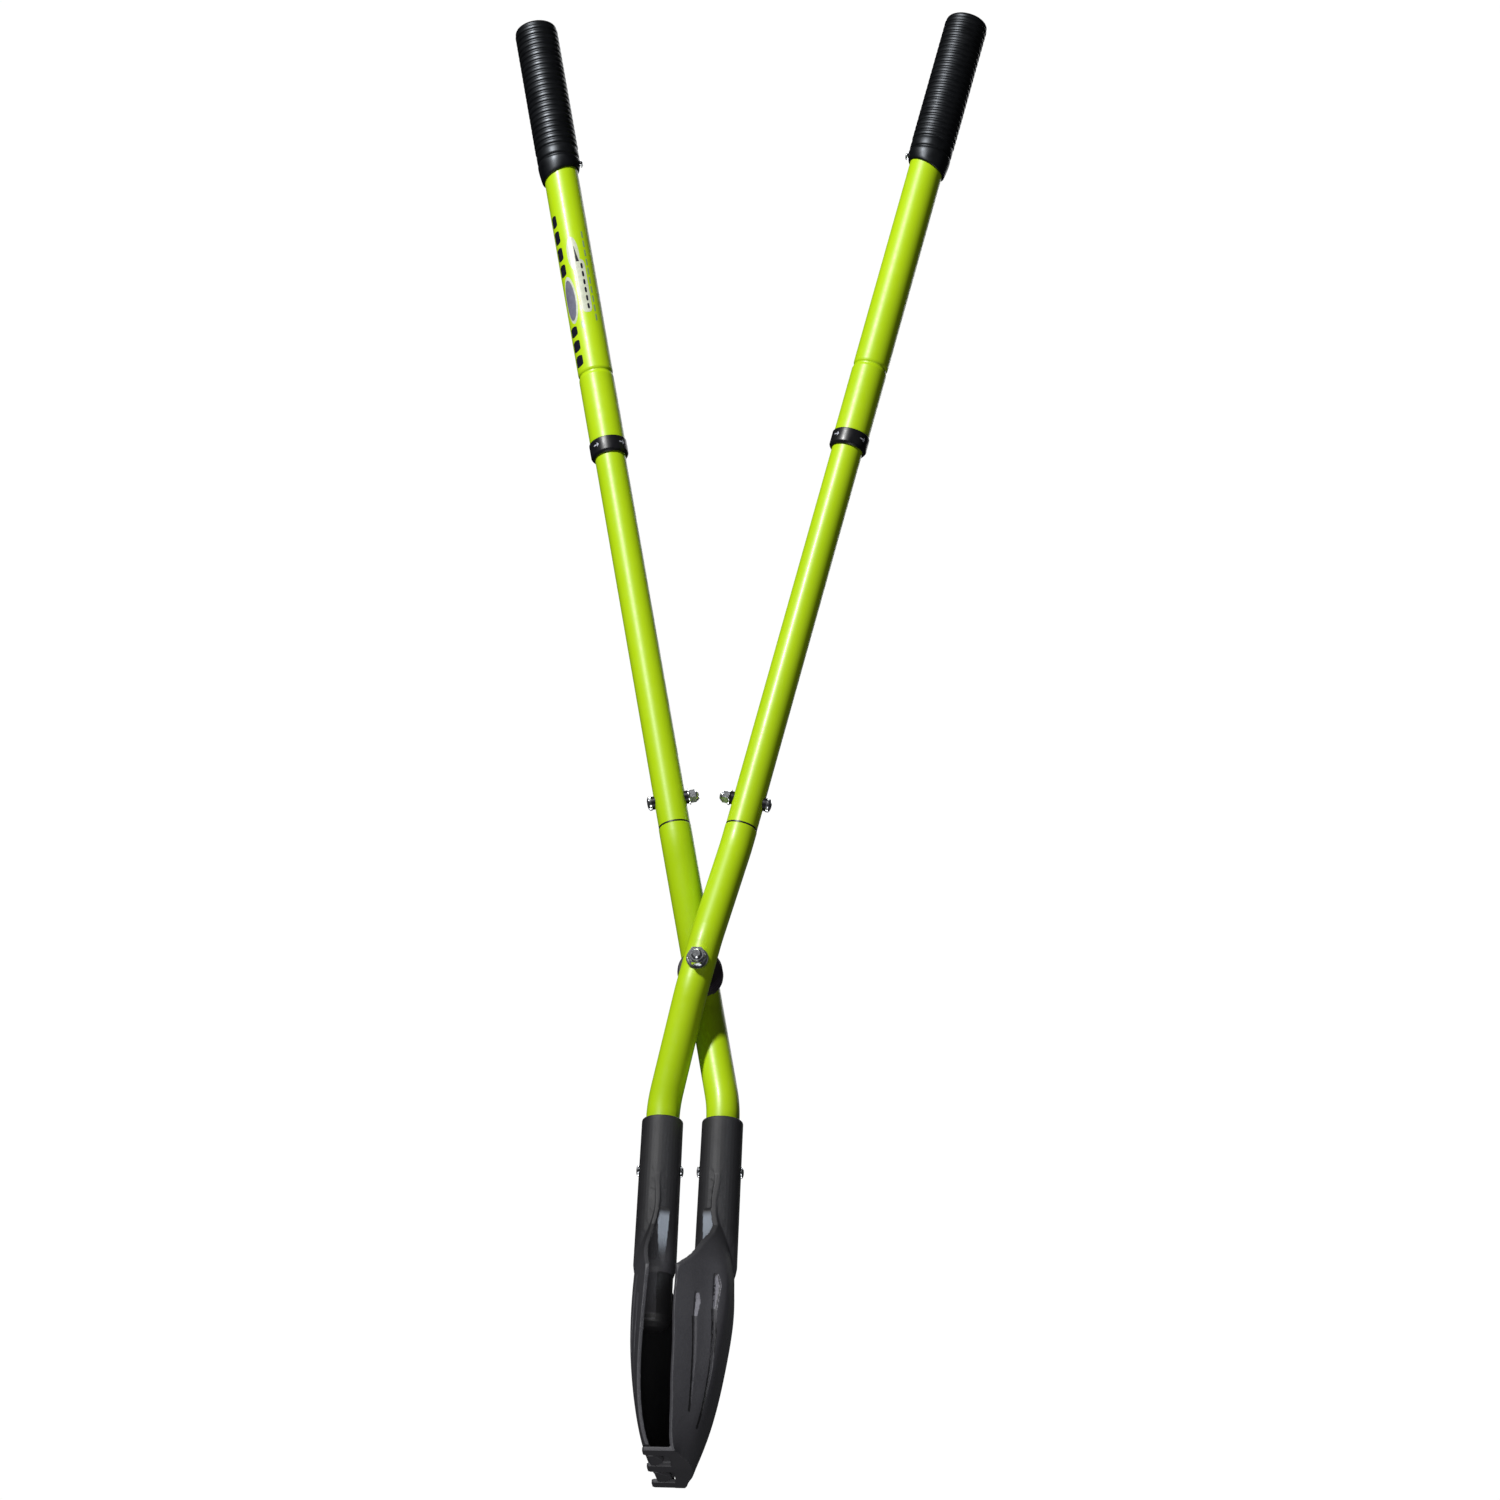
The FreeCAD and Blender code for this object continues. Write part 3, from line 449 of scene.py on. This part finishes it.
for side in SIDES:
    make_grip(side)


# ---------------------------------------------------------------------------
# printed marks: thin patches wrapped round the tube
# A patch is (start z, end z, left(z), right(z)): heights in mm, sides in degrees round Z,
# where -90 faces the leg's -Y.
# ---------------------------------------------------------------------------
TUBE_RADIUS = 14.3
COLLAR_RADIUS = 15.3
PRINT_GAP = 0.015
ROW_STEP, COLUMN_STEP = 0.8, 3.0    # largest grid cell: mm along, degrees round
WEDGE_TIP = 0.6


def symmetric(start, end, middle, half_width):
    return (start, end, lambda z: middle - half_width(z), lambda z: middle + half_width(z))


def bar(start, end, left, right, soft=2.0):
    """Bar whose ends are rounded over the length soft."""
    half = (right - left) / 2

    def half_width(z):
        inset = min(z - start, end - z)
        full = 1.0 if inset >= soft else math.sqrt(max(0.0, 1 - (1 - inset / soft) ** 2))
        return half * (0.35 + 0.65 * full)
    return symmetric(start, end, (left + right) / 2, half_width)


def oval(start, end, middle, half):
    centre, reach = (start + end) / 2, (end - start) / 2

    def half_width(z):
        return half * max(0.04, math.sqrt(max(0.0, 1 - ((z - centre) / reach) ** 2)))
    return symmetric(start, end, middle, half_width)


def wedge(start, end, left, spread, tip):
    """Patch with a straight left side that widens by spread away from z = tip."""
    def right(z):
        return left + WEDGE_TIP + spread * abs(z - tip) / (end - start)
    return (start, end, lambda z: left, right)


def wrap_mark(name, side, radius, patches, material, thick):
    verts, faces = [], []
    for start, end, left, right in patches:
        rows = max(2, int(abs(end - start) / ROW_STEP) + 1)
        samples = [start + (end - start) * i / 8.0 for i in range(9)]
        widest = max(right(z) - left(z) for z in samples)
        columns = max(2, int(widest / COLUMN_STEP) + 1)
        base = len(verts)
        for r in (radius + PRINT_GAP, radius + thick):
            for i in range(rows + 1):
                z = start + (end - start) * i / rows
                a0, a1 = left(z), right(z)
                for j in range(columns + 1):
                    angle = math.radians(a0 + (a1 - a0) * j / columns)
                    verts.append((r * math.cos(angle), r * math.sin(angle), z))

        def at(layer, i, j):
            return base + (layer * (rows + 1) + i) * (columns + 1) + j
        for i in range(rows):
            n = i + 1
            for j in range(columns):
                faces.append((at(1, i, j), at(1, i, j + 1), at(1, n, j + 1), at(1, n, j)))
                faces.append((at(0, i, j), at(0, n, j), at(0, n, j + 1), at(0, i, j + 1)))
            faces.append((at(0, i, 0), at(1, i, 0), at(1, n, 0), at(0, n, 0)))
            faces.append((at(0, i, columns), at(0, n, columns),
                          at(1, n, columns), at(1, i, columns)))
        for j in range(columns):
            n = j + 1
            faces.append((at(0, 0, j), at(0, 0, n), at(1, 0, n), at(1, 0, j)))
            faces.append((at(0, rows, j), at(1, rows, j), at(1, rows, n), at(0, rows, n)))
    leg_object(name, side, verts, faces, material, "_handle")


INK_DARK = ink("ink_dark", (0.010, 0.009, 0.022))
INK_PALE = ink("ink_pale", (0.72, 0.76, 0.60))
INK_GREY = ink("ink_grey", (0.20, 0.20, 0.27))
INK_FAINT = ink("ink_faint", (0.30, 0.46, 0.20))
INK_WHITE = ink("ink_white", (0.62, 0.64, 0.74), rough=0.4)

# start z, end z, right side of the wide dark bars, which share their left side
DARK_BARS = [(623, 634, -130), (638, 650, -131), (654, 666, -132), (670, 681, -134),
             (538, 548, -124), (552, 562, -125), (566, 575, -126)]
DARK_LEFT = -160

ground = [oval(577, 621, -131, 24), oval(624, 656, -95, 20), bar(584, 634, -96, -62, soft=6.0)]
dark = [bar(start, end, DARK_LEFT, right) for start, end, right in DARK_BARS]
dark += [bar(587 + 7.6 * k, 592.2 + 7.6 * k, -77, -70, soft=1.2) for k in range(6)]
dark.append(wedge(632, 647, -90, spread=10, tip=647))
line = [bar(576 + 8.7 * k, 582.6 + 8.7 * k, -56, -50, soft=1.0) for k in range(10)]
line.append(bar(570, 577, -107, -99, soft=1.0))

for name, patches, material, thick in (
        ("decal_ground", ground, INK_PALE, 0.05),
        ("decal_dark", dark, INK_DARK, 0.09),
        ("decal_grey", [oval(580, 618, -133, 20)], INK_GREY, 0.09),
        ("decal_line", line, INK_FAINT, 0.06)):
    wrap_mark(name, "rear", TUBE_RADIUS, patches, material, thick)

# four arrows round each lock collar: a stem and the two halves of a head
COLLAR_Z = 457.0
ARROW_ANGLES = (-128.0, -42.0, 48.0, 138.0)
HEAD_LOW, HEAD_MIDDLE, HEAD_HIGH = 6.2, 8.1, 10.0
for side in SIDES:
    z = COLLAR_Z + SLIDE[side]
    low, middle, high = z + HEAD_LOW, z + HEAD_MIDDLE, z + HEAD_HIGH
    arrows = []
    for angle in ARROW_ANGLES:
        arrows += [bar(middle - 0.5, middle + 0.5, angle - 11, angle + 5, soft=0.4),
                   wedge(low, middle, angle + 4, spread=6, tip=low),
                   wedge(middle, high, angle + 4, spread=6, tip=high)]
    wrap_mark(side + "_collar_marks", side, COLLAR_RADIUS, arrows, INK_WHITE,
              thick=0.08)


# dark line where the bent tube's swaged neck enters the inner tube:
# (radius, z) round the section of the ring, mm
JOINT_SECTION = [(12.3, 125.2), (12.545, 125.2), (12.545, 126.5), (12.3, 126.5)]
for side in SIDES:
    verts, faces = [], []
    for i, (radius, z) in enumerate(JOINT_SECTION):
        verts += circle(radius, z)
        faces += band(i * AROUND, (i + 1) % 4 * AROUND)
    leg_object(side + "_joint_line", side, verts, faces, BLACK, "_leg")


# ---------------------------------------------------------------------------
# scoops: the CAD shell with softened, moulded edges (metres, world frame)
# ---------------------------------------------------------------------------
VOXEL = 0.00055
# pocket areas, which get a painted highlight, named by distance from the mid-plane y = 0: low
# and high |y|, low and high z
POCKETS = [(0.0378, 0.0446, 0.1056, 0.1246), (0.0285, 0.0352, 0.1144, 0.1420)]
# |y| along the groove, at these z, half width; the grooves get a painted shadow
GROOVES = [((0.0396, 0.0426, 0.0448), (0.033, 0.070, 0.1052), 0.0008),
           ((0.0296, 0.0324, 0.0354), (0.023, 0.066, 0.1140), 0.0012)]


def read_vectors(items, key):
    values = np.zeros(len(items) * 3, np.float32)
    items.foreach_get(key, values)
    return values.reshape(-1, 3)


def softened_mesh(node):
    tmp = bpy.data.objects.new("tmp_" + node, NODES[node].data.copy())
    scene.collection.objects.link(tmp)
    add_modifier(tmp, "weld", "WELD", merge_threshold=WELD_DISTANCE)
    add_modifier(tmp, "remesh", "REMESH", mode="VOXEL", voxel_size=VOXEL, adaptivity=0.0,
                 use_smooth_shade=True)
    add_modifier(tmp, "smooth", "SMOOTH", factor=0.5, iterations=1)
    graph = bpy.context.evaluated_depsgraph_get()
    mesh = bpy.data.meshes.new_from_object(tmp.evaluated_get(graph))
    bpy.data.objects.remove(tmp)
    return mesh


def lean_far_rim(mesh):
    """Lean the +Y rim and lower corner of the front scoop in towards +X."""
    co = read_vectors(mesh.vertices, "co")
    y, z = co[:, 1], co[:, 2]
    side = np.clip((y - 0.030) / 0.024, 0, 1) ** 1.5
    height = np.clip((z - 0.060) / 0.050, 0, 1) * np.clip((0.178 - z) / 0.030, 0, 1)
    co[:, 0] += (0.0050 * side * height).astype(np.float32)
    corner = np.clip((y - 0.012) / 0.012, 0, 1) * np.clip((0.034 - z) / 0.014, 0, 1)
    co[:, 0] += (0.0034 * corner).astype(np.float32)
    mesh.vertices.foreach_set("co", co.reshape(-1))
    mesh.update()


def mark_areas(mesh, outward):
    """Give faces their plastic and their areas of painted light or shade; x grows away from the
    pivot, y away from the mid-plane.
    """
    centre = read_vectors(mesh.polygons, "center")
    normal = read_vectors(mesh.polygons, "normal")
    index = np.zeros(len(mesh.polygons), np.int32)
    x, y, z = centre[:, 0] * outward, np.abs(centre[:, 1]), centre[:, 2]
    nx, ny, nz = normal[:, 0] * outward, normal[:, 1] * np.sign(centre[:, 1]), normal[:, 2]
    # flats of the socket, which get the painted glint
    flat = ((nx * -0.358 + ny * 0.934 > 0.985) & (z > 0.128) & (z < 0.1985)
            & (x < 0.0225) & (y < 0.0158))
    index[flat] = FLAT
    # pockets at the top of the flutes, which get the painted highlight
    for y0, y1, z0, z1 in POCKETS:
        pocket = (y > y0) & (y < y1) & (z > z0) & (z < z1) & (ny > 0.885) & (nx > 0)
        index[pocket] = POCKET
    # one wall and floor of each flute groove, which get the painted shadow
    for path_y, path_z, half in GROOVES:
        groove = ((np.abs(y - np.interp(z, path_z, path_y)) < half)
                  & (z > path_z[0]) & (z < path_z[-1]) & (x > 0.004) & (nx * 0.5 + ny > 0.1))
        index[groove] = GROOVE
    # faces inside the scoop's hollow, which get painted shade
    inner = ((ny < -0.25) | ((nx < -0.25) & (y < 0.030))
             | ((nz < -0.3) & (y < 0.025) & (z > 0.060)))
    index[inner & (z > 0.022) & (z < 0.150)] = INNER
    mesh.polygons.foreach_set("material_index", index)


def make_scoop(side):
    node = side + "_scoop"
    mesh = softened_mesh(node)
    mesh.name = node + "_moulded"
    for polygon in mesh.polygons:
        polygon.use_smooth = True
    mesh.materials.clear()
    for material in SCOOP_MATERIALS:
        mesh.materials.append(material)
    if side == "front":
        lean_far_rim(mesh)
    mark_areas(mesh, outward=1.0 if side == "rear" else -1.0)
    scoop = bpy.data.objects.new(node + "_moulded", mesh)
    scene.collection.objects.link(scoop)
    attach(scoop, side + "_leg")
    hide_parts(node)
    return scoop


SCOOPS = [make_scoop(side) for side in SIDES]

# softened edges of the small hardware: bevel width, mm
for name, width in (("pivot_bolt", 0.25), ("pivot_nut", 0.3), ("rear_joint_nut", 0.25),
                    ("front_joint_nut", 0.25), ("rear_lock_collar", 0.25),
                    ("front_lock_collar", 0.25)):
    add_modifier(NODES[name], "weld", "WELD", merge_threshold=WELD_DISTANCE)
    add_modifier(NODES[name], "bevel", "BEVEL", width=width * MM, segments=2,
                 limit_method="ANGLE", angle_limit=math.radians(40))
    add_modifier(NODES[name], "normals", "WEIGHTED_NORMAL", keep_sharp=True)


# ---------------------------------------------------------------------------
# floor and world
# ---------------------------------------------------------------------------
def make_floor():
    """Pale floor, clear from below."""
    bm = bmesh.new()
    bmesh.ops.create_grid(bm, x_segments=8, y_segments=8, size=4.0)
    mesh = bpy.data.meshes.new("floor")
    bm.to_mesh(mesh)
    bm.free()
    floor = bpy.data.objects.new("floor", mesh)
    floor.location = (0, 0, -0.0005)
    scene.collection.objects.link(floor)
    m = new_material("pale_floor")
    v = m.coords()
    tone = m.noise(v, scale=3.0, detail=3.0, rough=0.5)
    base = m.mix(tone, 0.80, 0.84)
    normal = m.bump(m.noise(v, scale=300.0, detail=3.0), distance=0.0002, strength=0.2)
    paint = m.principled(Base_Color=base, Roughness=0.7, Normal=normal)
    below = m.node("NewGeometry").outputs["Backfacing"]
    clear = m.node("BsdfTransparent").outputs["BSDF"]
    m.surface(m.node("MixShader", {0: below, 1: paint, 2: clear}).outputs["Shader"])
    mesh.materials.append(m.owner)
    # the floor neither blocks the low lights nor bounces light
    floor.visible_diffuse = False
    floor.visible_glossy = False
    floor.visible_shadow = False


def make_world():
    """White to the camera, faint cool light to everything else."""
    scene.world = bpy.data.worlds.new("studio")
    w = Shader(scene.world, "ShaderNodeOutputWorld")
    seen = w.node("Background", {"Color": (1, 1, 1), "Strength": 1.02}).outputs[0]
    ambient = w.node("Background", {"Color": (0.93, 0.96, 1.0), "Strength": 0.018}).outputs[0]
    camera_ray = w.node("LightPath").outputs["Is Camera Ray"]
    w.surface(w.node("MixShader", {0: camera_ray, 1: ambient, 2: seen}).outputs[0])


make_floor()
make_world()


# ---------------------------------------------------------------------------
# lights
# ---------------------------------------------------------------------------
def area(name, direction, size, power, distance=4.0, target_z=0.62, color=(1, 1, 1)):
    """Square light, off in the given direction from a target on the Z axis."""
    away = Vector(direction).normalized()
    light = bpy.data.lights.new(name, "AREA")
    light.shape = "RECTANGLE"
    light.size = light.size_y = size
    light.energy = power
    light.color = color
    obj = bpy.data.objects.new(name, light)
    obj.location = Vector((0, 0, target_z)) + away * distance
    obj.rotation_mode = "QUATERNION"
    obj.rotation_quaternion = (-away).to_track_quat("-Z", "Y")
    obj.visible_camera = False
    scene.collection.objects.link(obj)
    return obj


def light_only(collection_name, receivers, lights):
    collection = bpy.data.collections.new(collection_name)
    for obj in receivers:
        collection.objects.link(obj)
    for light in lights:
        light.light_linking.receiver_collection = collection


area("key", (-0.402, -0.757, 0.515), size=0.40, power=172)
area("fill", (0.75, -0.62, 0.10), size=2.5, power=2)
area("back", (0.25, 1.0, 0.75), size=2.2, power=35)
area("low", (0.05, -0.45, -0.89), size=1.6, power=26)

# scoops only: a broad soft light from the -Y side, and a cool glint from each side
COOL = (0.85, 0.92, 1.0)
light_only("scoops_lit", SCOOPS, [
    area("scoop_fill", (0.04, -0.86, -0.50), size=1.6, power=58, distance=3.0, target_z=0.08),
    area("glint", (0.55, -0.73, 0.405), size=0.5, power=12, distance=3.0, target_z=0.16,
         color=COOL),
    area("glint_left", (-0.668, -0.624, 0.405), size=0.5, power=5, distance=3.0,
         target_z=0.16, color=COOL),
])

# fasteners only: pale surroundings to mirror, above and low on the +Y side
METAL = ("pivot_bolt", "pivot_nut", "pivot_washer", "joint_bolt", "joint_nut",
         "scoop_rivets", "grip_screw")
light_only("metal_lit", [obj for obj in scene.objects
                         if obj.type == "MESH" and any(key in obj.name for key in METAL)], [
    area("sky", (-0.08, 0.10, 0.99), size=2.0, power=60, distance=3.0, target_z=0.45),
    area("rim", (-0.08, 0.52, -0.85), size=1.2, power=50, distance=3.0, target_z=0.40),
])


# ---------------------------------------------------------------------------
# camera: on the -Y side, below the floor and looking up
# ---------------------------------------------------------------------------
AZIMUTH = math.radians(4.9636)
ELEVATION = math.radians(-23.797)
ROLL = math.radians(2.8026)
CAMERA_PLACE = Vector((0.36389, -3.84522, -1.11661))

camera_data = bpy.data.cameras.new("camera")
camera_data.sensor_width = 36.0
camera_data.lens = 128.7336
camera_data.clip_start = 0.05
camera_data.clip_end = 60.0
camera = bpy.data.objects.new("camera", camera_data)
scene.collection.objects.link(camera)
backward = Vector((math.sin(AZIMUTH) * math.cos(ELEVATION),
                   -math.cos(AZIMUTH) * math.cos(ELEVATION), math.sin(ELEVATION)))
right = Vector((math.cos(AZIMUTH), math.sin(AZIMUTH), 0))
up = right.cross(-backward)
axis_x = right * math.cos(ROLL) + up * math.sin(ROLL)
axis_y = -right * math.sin(ROLL) + up * math.cos(ROLL)
columns = (axis_x, axis_y, backward, CAMERA_PLACE)
camera.matrix_world = Matrix([[c[i] for c in columns] for i in range(3)] + [[0, 0, 0, 1]])
scene.camera = camera
scene.view_settings.view_transform = "Standard"
scene.view_settings.look = "None"
